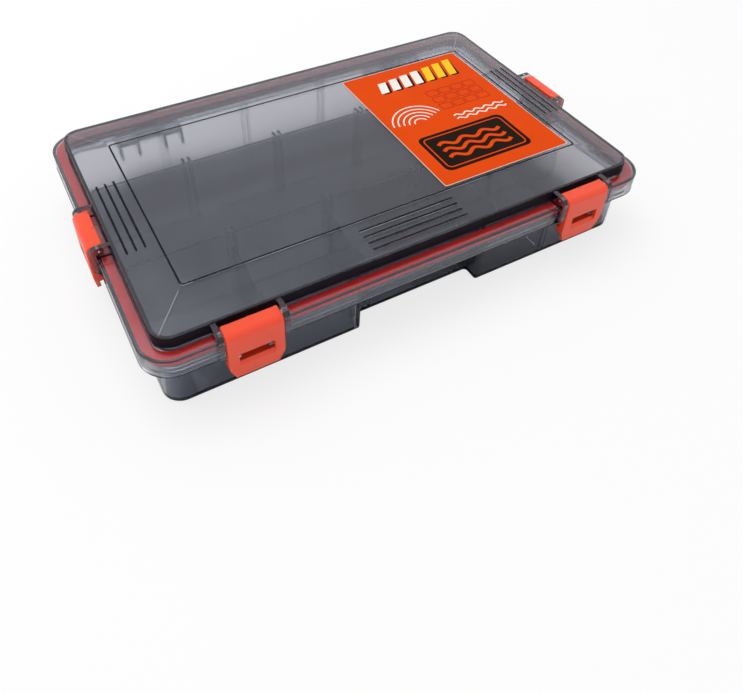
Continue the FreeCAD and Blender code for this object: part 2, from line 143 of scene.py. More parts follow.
class Tree:
    """A short hand for building a node tree."""

    def __init__(self, tree: bpy.types.NodeTree) -> None:
        """Start on an emptied tree."""
        self.tree = tree
        self.tree.nodes.clear()

    def feed(self, sockets: Sequence[Socket], values: Sequence[object]) -> None:
        """Link inputs to other sockets, or set their values.

        Args:
            sockets: the inputs.
            values: a socket to link or a value to set for each.
        """
        for socket, value in zip(sockets, values):
            if isinstance(value, Socket):
                self.tree.links.new(value, socket)
            else:
                socket.default_value = value

    def node(
        self, kind: str, settings: dict[str, object] | None = None, **inputs: object
    ) -> bpy.types.Node:
        """Add a node, set its properties and feed its inputs.

        Args:
            kind: the node's type name.
            settings: properties of the node.
            **inputs: a socket to link or a value to set for each named input; _ stands for a space.

        Returns:
            The node.
        """
        made = self.tree.nodes.new(kind)
        for key, value in (settings or {}).items():
            setattr(made, key, value)
        sockets = [made.inputs[key.replace("_", " ")] for key in inputs]
        self.feed(sockets, list(inputs.values()))
        return made

    def add(
        self, kind: str, settings: dict[str, object] | None = None, **inputs: object
    ) -> Socket:
        """Add a node as node() does and give its first output."""
        return self.node(kind, settings, **inputs).outputs[0]

    def math(self, operation: str, *numbers: object) -> Socket:
        """Work out one number from others.

        Args:
            operation: the Math node's operation.
            *numbers: a socket or a number for each input.

        Returns:
            The result.
        """
        made = self.node("ShaderNodeMath", {"operation": operation})
        self.feed(made.inputs, numbers)
        return made.outputs[0]

    def mixed(self, share: object, first: Socket, second: Socket) -> Socket:
        """Mix two shaders.

        Args:
            share: how much of the second one shows.
            first: the shader at 0.
            second: the shader at 1.

        Returns:
            The mixed shader.
        """
        made = self.node("ShaderNodeMixShader")
        self.feed(made.inputs, (share, first, second))
        return made.outputs[0]


# ------------------------------------------------------------------ materials


class Graph(Tree):
    """One material's node tree, whose patterns lie on the piece's own coordinates."""

    def __init__(self, name: str) -> None:
        """Start an empty material.

        Args:
            name: the material's name.
        """
        self.material = bpy.data.materials.new(name)
        self.material.use_nodes = True
        super().__init__(self.material.node_tree)

    def place(self) -> Socket:
        """Give the piece's own coordinates."""
        return self.node("ShaderNodeTexCoord").outputs["Object"]

    def measure(self, operation: str, *vectors: Socket) -> Socket:
        """Work out one number from vectors.

        Args:
            operation: the Vector Math node's operation.
            *vectors: the vectors.

        Returns:
            The number.
        """
        made = self.node("ShaderNodeVectorMath", {"operation": operation})
        self.feed(made.inputs, vectors)
        return made.outputs["Value"]

    def noise(self, scale: float, detail: float = 3.0) -> Socket:
        """Add a noise pattern.

        Args:
            scale: how many features there are to a metre.
            detail: how many finer layers it has.

        Returns:
            The pattern's value, from 0 to 1.
        """
        return self.add("ShaderNodeTexNoise", Vector=self.place(), Scale=scale, Detail=detail)

    def spread(self, value: Socket, ends: Flat, span: Flat = NOISE_SPAN) -> Socket:
        """Stretch a pattern between two numbers.

        Args:
            value: the pattern.
            ends: what the span's two ends become.
            span: the values between which the pattern is stretched.

        Returns:
            The stretched value.
        """
        return self.add(
            "ShaderNodeMapRange", Value=value,
            From_Min=span[0], From_Max=span[1], To_Min=ends[0], To_Max=ends[1],
        )

    def blend(self, value: Socket, low: Colour, high: Colour) -> Socket:
        """Mix two colours by a pattern.

        Args:
            value: a pattern from 0 to 1.
            low: the colour at 0.
            high: the colour at 1.

        Returns:
            The mixed colour.
        """
        made = self.node(
            "ShaderNodeMix", {"data_type": "RGBA"}, Factor=value, A=(*low, 1.0), B=(*high, 1.0)
        )
        return next(socket for socket in made.outputs if socket.enabled)

    def bump(self, height: Socket, strength: float, depth: float) -> Socket:
        """Turn a pattern into a bumpy normal.

        Args:
            height: the pattern.
            strength: how much of the bump shows.
            depth: how deep it is, in metres.

        Returns:
            The normal.
        """
        return self.add("ShaderNodeBump", Height=height, Strength=strength, Distance=depth)

    def finish(self, surface: Socket, volume: Socket | None = None) -> Material:
        """Join the surface, and a volume where there is one, to the output.

        Args:
            surface: the surface shader.
            volume: the volume shader, or None.

        Returns:
            The finished material.
        """
        shaders = {"Surface": surface} | ({} if volume is None else {"Volume": volume})
        self.node("ShaderNodeOutputMaterial", **shaders)
        return self.material


@dataclass(frozen=True)
class SmokePlastic:
    """Clear plastic dyed smoke grey, which darkens with its thickness.

    taken is what the dye takes out in a metre and bend the refractive index. Diffuse and shadow
    rays go straight through each surface and keep shade of their light, and faint is how much of it
    lets every other ray through in the same way. dye_room is how much denser the dye is than its
    strongest colour needs.
    """

    name: str
    taken: Colour
    shade: float
    roughness: float = 0.03
    bend: float = 1.6
    faint: float = 0.0
    sheen: Colour = (0.84, 0.89, 1.0)
    uneven: Flat = (0.6, 1.5)
    cloud: float = 38.0
    flow: float = 22.0
    ripple: float = 0.12
    ripple_depth: float = 0.0004
    dye_room: float = 1.25

    def material(self) -> Material:
        """Build the node tree.

        Returns:
            The material.
        """
        graph = Graph(self.name)
        least, most = (self.roughness * share for share in self.uneven)
        plastic = graph.add(
            "ShaderNodeBsdfPrincipled", Base_Color=WHITE, Transmission_Weight=1.0, IOR=self.bend,
            Specular_Tint=(*self.sheen, 1.0),
            Roughness=graph.spread(graph.noise(self.cloud, detail=2.0), (least, most)),
            Normal=graph.bump(graph.noise(self.flow, detail=1.0), self.ripple, self.ripple_depth),
        )
        clear = graph.add("ShaderNodeBsdfTransparent", Color=(*(self.shade,) * 3, 1.0))
        ray = graph.node("ShaderNodeLightPath").outputs
        soft = graph.math("MAXIMUM", ray["Is Shadow Ray"], ray["Is Diffuse Ray"])
        surface = graph.mixed(graph.math("MAXIMUM", soft, self.faint), plastic, clear)
        density = max(self.taken) * self.dye_room
        kept = (*(1 - part / density for part in self.taken), 1.0)
        dye = graph.add("ShaderNodeVolumeAbsorption", Color=kept, Density=density)
        return graph.finish(surface, dye)


@dataclass(frozen=True)
class SolidPlastic:
    """Coloured plastic, rubber or print with a soft gloss and faint mould flow."""

    name: str
    dark: Colour
    light: Colour
    roughness: float = 0.35
    soft: float = 0.0
    gloss: float = 0.5
    flow: float = 70.0
    smear: float = 160.0
    uneven: float = 0.06
    grain: float = 900.0
    grain_show: float = 0.25
    grain_depth: float = 0.00003
    bleed: Colour = (1.0, 0.3, 0.2)
    bleed_depth: float = 0.004
    bend: float = 1.5

    def material(self) -> Material:
        """Build the node tree.

        Returns:
            The material.
        """
        graph = Graph(self.name)
        ends = (self.roughness - self.uneven, self.roughness + self.uneven)
        skin = graph.add(
            "ShaderNodeBsdfPrincipled", IOR=self.bend, Specular_IOR_Level=self.gloss,
            Base_Color=graph.blend(graph.noise(self.flow), self.dark, self.light),
            Subsurface_Weight=self.soft, Subsurface_Radius=self.bleed,
            Subsurface_Scale=self.bleed_depth,
            Roughness=graph.spread(graph.noise(self.smear), ends),
            Normal=graph.bump(
                graph.noise(self.grain, detail=4.0), self.grain_show, self.grain_depth
            ),
        )
        return graph.finish(skin)


class Ink(Enum):
    """Finish of the card's board, of its orange print or of an ink on it."""

    BOARD = SolidPlastic(
        "card_board", (0.80, 0.74, 0.68), (0.86, 0.80, 0.74), 0.5, gloss=0.1
    )
    ORANGE = SolidPlastic(
        "orange_print", (0.69, 0.058, 0.001), (0.77, 0.070, 0.0015), 0.5, gloss=0.05
    )
    WHITE = SolidPlastic(
        "white_ink", (0.80, 0.76, 0.70), (0.90, 0.87, 0.82), 0.5, gloss=0.1
    )
    YELLOW = SolidPlastic(
        "yellow_ink", (0.86, 0.50, 0.01), (0.92, 0.60, 0.02), 0.5, gloss=0.1
    )
    BLACK = SolidPlastic(
        "black_ink", (0.010, 0.006, 0.004), (0.018, 0.011, 0.007), 0.5, gloss=0.02
    )
    RUST = SolidPlastic(
        "rust_ink", (0.34, 0.012, 0.002), (0.42, 0.018, 0.003), 0.5, gloss=0.08
    )


@dataclass(frozen=True)
class PaintedWallShade:
    """Painted shade on a clear upright wall, in place of its dark reflection, there only for an eye
    outside it.

    outward is how far out a face has to look, in metres from the piece's origin.
    """

    name: str
    dark: Colour
    light: Colour
    outward: float = 0.06
    flow: float = 70.0
    gloss: float = 0.1

    def material(self) -> Material:
        """Build the node tree.

        Returns:
            The material.
        """
        graph = Graph(self.name)
        skin = graph.add(
            "ShaderNodeBsdfPrincipled", Specular_IOR_Level=self.gloss,
            Base_Color=graph.blend(graph.noise(self.flow), self.dark, self.light),
        )
        turned = graph.add(
            "ShaderNodeVectorTransform", {"vector_type": "NORMAL", "convert_to": "OBJECT"},
            Vector=graph.node("ShaderNodeNewGeometry").outputs["True Normal"],
        )
        facing = graph.measure("DOT_PRODUCT", graph.place(), turned)
        # The painted shade shows only on faces that look outward; elsewhere the surface lets every
        # ray through.
        outside = graph.math("GREATER_THAN", facing, self.outward)
        return graph.finish(graph.mixed(outside, graph.add("ShaderNodeBsdfTransparent"), skin))


@dataclass(frozen=True)
class DrawnSteel:
    """Bright steel wire, finely scored along its length."""

    name: str
    dark: Colour = (0.16, 0.16, 0.17)
    light: Colour = (0.30, 0.30, 0.31)
    scores: float = 1400.0
    score_show: float = 0.2
    score_depth: float = 0.00001
    smear: float = 600.0
    roughness: Flat = (0.24, 0.42)

    def material(self) -> Material:
        """Build the node tree.

        Returns:
            The material.
        """
        graph = Graph(self.name)
        scores = graph.noise(self.scores)
        skin = graph.add(
            "ShaderNodeBsdfPrincipled", Metallic=1.0,
            Base_Color=graph.blend(scores, self.dark, self.light),
            Roughness=graph.spread(graph.noise(self.smear), self.roughness),
            Normal=graph.bump(scores, self.score_show, self.score_depth),
        )
        return graph.finish(skin)


# ------------------------------------------------------------------ meshes


def soften(mesh: Mesh, sharp: float = 26.0) -> None:
    """Shade a mesh smooth, apart from its sharp edges.

    Args:
        mesh: the mesh.
        sharp: the angle, in degrees, from which an edge stays sharp.
    """
    work = bmesh.new()
    work.from_mesh(mesh)
    for face in work.faces:
        face.smooth = True
    for edge in work.edges:
        edge.smooth = edge.calc_face_angle(math.pi) < math.radians(sharp)
    work.to_mesh(mesh)
    work.free()


def piece_of(mesh: Mesh, name: str) -> Piece:
    """Put a mesh in the scene as a piece at the origin.

    Args:
        mesh: the mesh.
        name: the piece's name.

    Returns:
        The piece.
    """
    piece = bpy.data.objects.new(name, mesh)
    bpy.context.scene.collection.objects.link(piece)
    return piece


def merged_copy(node: str, name: str) -> Piece:
    """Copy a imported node's mesh into a new piece with its loose triangles joined.

    Args:
        node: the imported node.
        name: the new piece's name.

    Returns:
        The new piece.
    """
    work = bmesh.new()
    work.from_mesh(FRAME["nodes"][node].data)
    bmesh.ops.remove_doubles(work, verts=work.verts, dist=WELD)
    mesh = bpy.data.meshes.new(name)
    work.to_mesh(mesh)
    work.free()
    soften(mesh)
    return piece_of(mesh, name)


def dress(piece: Piece, material: Material, body: str, slot: str, *nodes: str) -> None:
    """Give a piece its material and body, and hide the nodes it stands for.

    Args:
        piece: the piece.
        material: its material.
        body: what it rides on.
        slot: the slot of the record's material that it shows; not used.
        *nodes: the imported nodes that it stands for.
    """
    piece.data.materials.clear()
    piece.data.materials.append(material)
    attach(piece, body)
    if nodes:
        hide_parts(*nodes)
    log.info("%s rides on %s", piece.name, body)


def box_mm(node: str) -> tuple[Vector, Vector]:
    """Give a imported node's lowest and highest corners, in millimetres."""
    low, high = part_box(node)
    return Vector(low) / MM, Vector(high) / MM


class Form(Tree):
    """A Geometry Nodes tree that grows one kind of piece from its named sizes."""

    def __init__(self, name: str, *sizes: str) -> None:
        """Start a tree with an outline, its sizes and a finish as its inputs.

        Args:
            name: the tree's name.
            *sizes: the names of its sizes.
        """
        super().__init__(bpy.data.node_groups.new(name, "GeometryNodeTree"))
        face = self.tree.interface
        kinds = {"Outline": "Geometry"} | {size: "Float" for size in sizes} | {"Finish": "Material"}
        self.ids = {
            key: face.new_socket(key, in_out="INPUT", socket_type=f"NodeSocket{kind}").identifier
            for key, kind in kinds.items()
        }
        face.new_socket("Piece", in_out="OUTPUT", socket_type="NodeSocketGeometry")
        self.size = self.tree.nodes.new("NodeGroupInput").outputs

    def vector(self, x: object = 0.0, y: object = 0.0, z: object = 0.0) -> Socket:
        """Join three numbers into a vector."""
        return self.add("ShaderNodeCombineXYZ", X=x, Y=y, Z=z)

    def filleted(self, line: Socket, radius: object, facets: int) -> Socket:
        """Round the corners of a closed curve.

        Args:
            line: the curve.
            radius: the corner radius.
            facets: how many points each corner gets.

        Returns:
            The rounded curve.
        """
        return self.add(
            "GeometryNodeFilletCurve", {"mode": "POLY"},
            Curve=line, Count=facets, Radius=radius, Limit_Radius=True,
        )

    def rounded_rectangle(
        self, width: object, height: object, radius: object, facets: int
    ) -> Socket:
        """Closed rectangle with round corners.

        Args:
            width: its size along X.
            height: its size along Y.
            radius: its corner radius.
            facets: how many points each corner has.

        Returns:
            The curve.
        """
        box = self.add("GeometryNodeCurvePrimitiveQuadrilateral", Width=width, Height=height)
        return self.filleted(box, radius, facets)

    def swept(self, path: Socket, profile: Socket) -> Socket:
        """Carry a profile along a path that lies flat, with the profile upright on it.

        Args:
            path: the path.
            profile: the section, X across the path and Y up.

        Returns:
            The mesh.
        """
        level = self.add("GeometryNodeSetCurveNormal", {"mode": "Z_UP"}, Curve=path)
        return self.add(
            "GeometryNodeCurveToMesh", Curve=level, Profile_Curve=profile, Fill_Caps=True
        )

    def repeated(
        self, shape: Socket, count: object, step: Socket, scale: Socket | None = None
    ) -> Socket:
        """Copies of a shape in a row.

        Args:
            shape: the shape.
            count: how many there are.
            step: the vector from one to the next.
            scale: the size of each, or None.

        Returns:
            The copies.
        """
        row = self.add("GeometryNodeMeshLine", Count=count, Offset=step)
        inputs = {"Scale": scale} if scale is not None else {}
        copies = self.add("GeometryNodeInstanceOnPoints", Points=row, Instance=shape, **inputs)
        return self.add("GeometryNodeRealizeInstances", Geometry=copies)

    def plate(self, outline: Socket, thickness: Socket) -> Socket:
        """Solid plate over a closed flat curve.

        Args:
            outline: the curve.
            thickness: how far it rises.

        Returns:
            The closed mesh.
        """
        sheet = self.add("GeometryNodeFillCurve", {"mode": "NGONS"}, Curve=outline)
        rise = self.vector(z=thickness)
        top = self.add("GeometryNodeExtrudeMesh", Mesh=sheet, Offset=rise, Individual=False)
        under = self.add("GeometryNodeFlipFaces", Mesh=sheet)
        both = self.tree.nodes.new("GeometryNodeJoinGeometry")
        self.tree.links.new(top, both.inputs[0])
        self.tree.links.new(under, both.inputs[0])
        return self.add("GeometryNodeMergeByDistance", Geometry=both.outputs[0], Distance=WELD)

    def close(self, shape: Socket) -> "Form":
        """End the tree in Realize Instances and Set Material.

        Args:
            shape: the finished geometry.

        Returns:
            The form itself.
        """
        plain = self.add("GeometryNodeRealizeInstances", Geometry=shape)
        finish = self.size["Finish"]
        dressed = self.add("GeometryNodeSetMaterial", Geometry=plain, Material=finish)
        self.tree.links.new(dressed, self.tree.nodes.new("NodeGroupOutput").inputs[0])
        return self

    def printed(self, path: Socket) -> "Form":
        """End the tree in flat bands of ink along a path.

        Args:
            path: the path.

        Returns:
            The form itself.
        """
        section = self.rounded_rectangle(self.size["Width"], self.size["Thickness"], 0.0, 1)
        return self.close(self.swept(path, section))

    def grow(
        self, name: str, finish: Material, outline: Mesh | None = None, **sizes: float
    ) -> Mesh:
        """Grow one piece's mesh.

        Args:
            name: the mesh's name.
            finish: its material.
            outline: the edges that the tree starts from, where it has them.
            **sizes: a value for each named size, lengths in millimetres.

        Returns:
            A plain mesh, shaded smooth between its sharp edges.
        """
        seed = piece_of(outline or bpy.data.meshes.new(name), name)
        modifier = seed.modifiers.new("form", "NODES")
        modifier.node_group = self.tree
        modifier[self.ids["Finish"]] = finish
        for key, value in sizes.items():
            modifier[self.ids[key]] = value if key in PLAIN else value * MM
        seen = seed.evaluated_get(bpy.context.evaluated_depsgraph_get())
        mesh = bpy.data.meshes.new_from_object(seen)
        mesh.name = name
        bpy.data.objects.remove(seed)
        soften(mesh)
        return mesh


def loop(name: str, corners: Sequence[Point]) -> Mesh:
    """Closed outline in the XY plane.

    Args:
        name: the mesh's name.
        corners: counter-clockwise corners, each x, y and corner radius in millimetres.

    Returns:
        A mesh of edges with the radii as an attribute.
    """
    mesh = bpy.data.meshes.new(name)
    count = len(corners)
    spots = [(x * MM, y * MM, 0) for x, y, _ in corners]
    mesh.from_pydata(spots, [(i, (i + 1) % count) for i in range(count)], [])
    radii = mesh.attributes.new("round", "FLOAT", "POINT")
    radii.data.foreach_set("value", [radius * MM for _, _, radius in corners])
    return mesh


@dataclass(frozen=True)
class Row:
    """How plates repeat: how many, how far apart, how far each falls and how much each grows."""

    count: int = 1
    step: float = 0.0
    fall: float = 0.0
    growth: float = 0.0


def plate_form() -> Form:
    """Flat plates of any outline in a row along X, each longer and lower than the last.

    Returns:
        The tree.
    """
    form = Form("plates", "Thickness", "Count", "Step", "Fall", "Growth")
    size = form.size
    line = form.add("GeometryNodeMeshToCurve", Mesh=size["Outline"])
    radius = form.add("GeometryNodeInputNamedAttribute", {"data_type": "FLOAT"}, Name="round")
    body = form.plate(form.filleted(line, radius, CORNER_FACETS), size["Thickness"])
    index = form.add("GeometryNodeInputIndex")
    tall = form.math("ADD", 1.0, form.math("MULTIPLY", index, size["Growth"]))
    step = form.vector(x=size["Step"], z=form.math("MULTIPLY", size["Fall"], -1.0))
    return form.close(form.repeated(body, size["Count"], step, form.vector(1.0, tall, 1.0)))


def plates(
    form: Form, name: str, finish: Material, corners: Sequence[Point], thickness: float,
    row: Row = Row(),
) -> Mesh:
    """Grow a row of plates.

    Args:
        form: the plates tree.
        name: the mesh's name.
        finish: its material.
        corners: the outline's corners, each x, y and corner radius in millimetres.
        thickness: how thick a plate is, in millimetres.
        row: how the plates are repeated.

    Returns:
        The mesh.
    """
    return form.grow(
        name, finish, loop(name, corners), Thickness=thickness, Count=row.count,
        Step=row.step, Fall=row.fall, Growth=row.growth,
    )


def seal_form() -> Form:
    """Band with a rounded section that follows a rounded rectangle.

    Returns:
        The tree.
    """
    form = Form("seal_band", "Length", "Depth", "Corner", "Width", "Height", "Edge")
    size = form.size
    path = form.rounded_rectangle(size["Length"], size["Depth"], size["Corner"], RIM_FACETS)
    section = form.rounded_rectangle(size["Width"], size["Height"], size["Edge"], EDGE_FACETS)
    return form.close(form.swept(path, section))


def pin_form() -> Form:
    """Straight pin along X with chamfered ends.

    Returns:
        The tree.
    """
    form = Form("pin", "Length", "Radius", "Chamfer")
    size = form.size
    points = form.add("GeometryNodeMeshLine", Count=PIN_STATIONS)
    spot = form.math("SUBTRACT", form.add("GeometryNodeInputIndex"), (PIN_STATIONS - 1) / 2)
    inner = form.math("LESS_THAN", form.math("ABSOLUTE", spot), 1.0)
    half = form.math("MULTIPLY", size["Length"], 0.5)
    reach = form.math("SUBTRACT", half, form.math("MULTIPLY", inner, size["Chamfer"]))
    along = form.math("MULTIPLY", form.math("SIGN", spot), reach)
    placed = form.add("GeometryNodeSetPosition", Geometry=points, Position=form.vector(x=along))
    line = form.add("GeometryNodeMeshToCurve", Mesh=placed)
    lost = form.math("MULTIPLY", form.math("SUBTRACT", 1.0, inner), size["Chamfer"])
    radius = form.math("SUBTRACT", size["Radius"], lost)
    ring = form.add("GeometryNodeCurvePrimitiveCircle", Resolution=PIN_FACETS, Radius=1.0)
    return form.close(form.add(
        "GeometryNodeCurveToMesh", Curve=line, Profile_Curve=ring, Scale=radius, Fill_Caps=True
    ))


def ripple_form() -> Form:
    """Printed arcs round one middle, each wider than the last.

    Returns:
        The tree.
    """
    form = Form("ripples", "Count", "First", "Step", "Sweep", "Width", "Thickness")
    size = form.size
    arc = form.add(
        "GeometryNodeCurveArc", Resolution=ARC_POINTS, Radius=1.0, Start_Angle=0.0,
        Sweep_Angle=size["Sweep"],
    )
    wider = form.math("MULTIPLY", form.add("GeometryNodeInputIndex"), size["Step"])
    grown = form.math("ADD", size["First"], wider)
    return form.printed(
        form.repeated(arc, size["Count"], form.vector(), form.vector(grown, grown, 1.0))
    )


def wave_form() -> Form:
    """Printed wavy bands, one above the other.

    Returns:
        The tree.
    """
    form = Form("waves", "Count", "Step", "Length", "Swing", "Waves", "Width", "Thickness")
    size = form.size
    end = form.vector(x=size["Length"])
    line = form.add("GeometryNodeCurvePrimitiveLine", Start=(0, 0, 0), End=end)
    fine = form.add("GeometryNodeResampleCurve", Curve=line, Count=WAVE_POINTS)
    turns = form.math("MULTIPLY", size["Waves"], math.tau)
    turn = form.math("MULTIPLY", form.add("GeometryNodeSplineParameter"), turns)
    lift = form.vector(y=form.math("MULTIPLY", form.math("SINE", turn), size["Swing"]))
    wavy = form.add("GeometryNodeSetPosition", Geometry=fine, Offset=lift)
    return form.printed(form.repeated(wavy, size["Count"], form.vector(y=size["Step"])))


def cell_form() -> Form:
    """Printed grid of rounded frames.

    Returns:
        The tree.
    """
    form = Form("cells", "Columns", "Rows", "Across", "Up", "Corner", "Width", "Thickness")
    size = form.size
    across = form.math("MULTIPLY", size["Across"], CELL_FILL[0])
    up = form.math("MULTIPLY", size["Up"], CELL_FILL[1])
    frame = form.rounded_rectangle(across, up, size["Corner"], EDGE_FACETS)
    row = form.repeated(frame, size["Columns"], form.vector(x=size["Across"]))
    return form.printed(form.repeated(row, size["Rows"], form.vector(y=size["Up"])))


# ------------------------------------------------------------------ the studio


@dataclass
class Studio:
    """Camera, lamp, world and floor.

    target, distance and sensor are in millimetres, the other lengths in metres, angles in degrees.
    """

    focal_px: float = 736.72
    centre_px: Flat = (348.25, 213.88)
    frame_px: tuple[int, int] = (743, 693)
    sensor: float = 36.0
    target: Point = (-13.15, -28.86, 25.0)
    distance: float = 383.57
    elevation: float = 41.86
    azimuth: float = -30.33
    roll: float = 1.88
    nearest: float = 0.01
    floor_reach: float = 3.0
    floor_drop: float = 0.0002
    floor_tone: float = 0.92
    fade_span: Flat = (0.35, 1.6)
    fade_ends: Flat = (0.76, 1.0)
    room_light: float = 0.62
    lamp_spot: Point = (-0.3, 0.35, 1.3)
    lamp_side: float = 1.2
    lamp_power: float = 11.0
    bounces: int = 40
    clear_bounces: int = 48

    def camera(self) -> None:
        """Put the camera where it sees the case from the front left."""
        data = bpy.data.cameras.new("camera")
        data.sensor_fit = "HORIZONTAL"
        data.sensor_width = self.sensor
        width, height = self.frame_px
        data.lens = self.focal_px * data.sensor_width / width
        data.shift_x = (width / 2 - self.centre_px[0]) / width
        data.shift_y = (self.centre_px[1] - height / 2) / width
        data.clip_start = self.nearest
        el, az, roll = (math.radians(a) for a in (self.elevation, self.azimuth, self.roll))
        back = Vector((math.sin(az) * math.cos(el), -math.cos(az) * math.cos(el), math.sin(el)))
        right = (-back).cross(Vector((0, 0, 1))).normalized()
        up = right.cross(-back)
        turned = right * math.cos(roll) + up * math.sin(roll)
        upright = up * math.cos(roll) - right * math.sin(roll)
        spot = (Vector(self.target) + back * self.distance) * MM
        axes = Matrix((turned, upright, back)).transposed().to_4x4()
        camera = bpy.data.objects.new("camera", data)
        camera.matrix_world = Matrix.Translation(spot) @ axes
        bpy.context.scene.collection.objects.link(camera)
        bpy.context.scene.camera = camera

    def lamp(self) -> None:
        """Hang a square soft lamp that points at the case."""
        data = bpy.data.lights.new("over", "AREA")
        data.size = self.lamp_side
        data.energy = self.lamp_power
        lamp = bpy.data.objects.new("over", data)
        lamp.location = self.lamp_spot
        lamp.rotation_euler = Vector(self.lamp_spot).to_track_quat("Z", "Y").to_euler()
        lamp.visible_glossy = False
        bpy.context.scene.collection.objects.link(lamp)

    def floor(self) -> None:
        """Lay a wide pale floor that fades to white for the eye."""
        mesh = bpy.data.meshes.new("floor")
        reach = self.floor_reach
        corners = ((-1, -1), (1, -1), (1, 1), (-1, 1))
        spots = [(x * reach, y * reach, -self.floor_drop) for x, y in corners]
        mesh.from_pydata(spots, [], [(0, 1, 2, 3)])
        graph = Graph("pale_floor")
        matt = graph.add("ShaderNodeBsdfDiffuse", Color=(*(self.floor_tone,) * 3, 1.0))
        glow = graph.add("ShaderNodeEmission", Strength=1.0)
        away = graph.measure("LENGTH", graph.place())
        seen = graph.node("ShaderNodeLightPath").outputs["Is Camera Ray"]
        share = graph.math("MULTIPLY", seen, graph.spread(away, self.fade_ends, self.fade_span))
        mesh.materials.append(graph.finish(graph.mixed(share, matt, glow)))
        piece_of(mesh, "floor")

    def world(self) -> None:
        """Light the room evenly, with a background that the eye and the gloss see as white."""
        scene = bpy.context.scene
        scene.world = bpy.data.worlds.new("room")
        scene.world.use_nodes = True
        tree = Tree(scene.world.node_tree)
        room = tree.add("ShaderNodeBackground", Color=WHITE, Strength=self.room_light)
        white = tree.add("ShaderNodeBackground", Color=WHITE, Strength=1.0)
        ray = tree.node("ShaderNodeLightPath").outputs
        seen = ray["Is Camera Ray"]
        for kind in ("Is Glossy Ray", "Is Transmission Ray"):
            seen = tree.math("MAXIMUM", seen, ray[kind])
        tree.node("ShaderNodeOutputWorld", Surface=tree.mixed(seen, room, white))

    def view(self) -> None:
        """Set the view and let a ray go on through many clear walls."""
        scene = bpy.context.scene
        scene.view_settings.view_transform = "Standard"
        scene.cycles.max_bounces = self.bounces
        scene.cycles.transmission_bounces = self.bounces
        scene.cycles.transparent_max_bounces = self.clear_bounces

    def build(self) -> None:
        """Set up the camera, the floor, the world, the view and the lamp."""
        self.camera()
        self.floor()
        self.world()
        self.view()
        self.lamp()
        log.info("studio ready")


# ------------------------------------------------------------------ the case


@dataclass
class Pins:
    """Steel pins, all drawn from one wire form."""

    chamfer: float = 0.25
    steel: DrawnSteel = DrawnSteel("pin_steel")

    def __post_init__(self) -> None:
        """Make the wire form and its finish."""
        self.form = pin_form()
        self.finish = self.steel.material()

    def build(self, node: str, body: str) -> None:
        """Make one pin along its node's longest side.

        Args:
            node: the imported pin.
            body: what it rides on.
        """
        low, high = box_mm(node)
        size = high - low
        length = max(size.x, size.y)
        mesh = self.form.grow(
            f"steel_{node}", self.finish, Length=length, Radius=size.z / 2, Chamfer=self.chamfer
        )
        turn = Matrix.Rotation(math.pi / 2, 4, "Z") if size.y >= size.x else Matrix.Identity(4)
        mesh.transform(Matrix.Translation((low + high) / 2 * MM) @ turn)
        dress(piece_of(mesh, f"steel_{node}"), self.finish, body, "pin_steel", node)


@dataclass
class Tray:
    """Bottom tray with its loose dividers."""

    smoke: SmokePlastic = SmokePlastic(
        "tray_smoke", (148.0, 143.0, 114.0), 0.3, bend=1.47, sheen=(0.70, 0.80, 1.0)
    )
    loose: SmokePlastic = SmokePlastic(
        "divider_smoke", (165.0, 161.0, 140.0), 0.9, bend=1.36, faint=0.55
    )
    dividers: int = 6
    corner: float = 1.2
    notch_width: float = 16.0
    notch_depth: float = 3.0
    lift: float = 0.05

    def divider(self, number: int, form: Form, finish: Material) -> None:
        """Make one divider, a plate with a finger notch.

        Args:
            number: which divider it is.
            form: the tree that grows plates.
            finish: its material.
        """
        node = f"divider_{number}"
        low, high = box_mm(node)
        floor = low.z + self.lift
        middle = (low.y + high.y) / 2
        half = self.notch_width / 2
        sunk = high.z - self.notch_depth
        corners = [
            (low.y, floor), (high.y, floor), (high.y, high.z),
            (middle + half, high.z), (middle + half - self.notch_depth, sunk),
            (middle - half + self.notch_depth, sunk), (middle - half, high.z), (low.y, high.z),
        ]
        rounded = [(y, z, self.corner) for y, z in corners]
        name = f"divider_plate_{number}"
        mesh = plates(form, name, finish, rounded, high.x - low.x)
        # The outline's X and Y become the case's Y and Z, and the plate's thickness its X.
        stood = Matrix(((0, 0, 1, low.x * MM), (1, 0, 0, 0), (0, 1, 0, 0), (0, 0, 0, 1)))
        mesh.transform(stood)
        dress(piece_of(mesh, name), finish, "tray", "divider_plastic", node)

    def build(self, pins: Pins) -> None:
        """Dress the tray, and make what stands in it and its hinge pins.

        Args:
            pins: what makes the pins.
        """
        smoke = self.smoke.material()
        moulding = merged_copy("base_tray", "tray_moulding")
        dress(moulding, smoke, "tray", "tray_plastic", "base_tray")
        form = plate_form()
        loose = self.loose.material()
        for number in range(1, self.dividers + 1):
            self.divider(number, form, loose)
        for hand in Hand:
            pins.build(f"hinge_pin_{hand.value}", "tray")


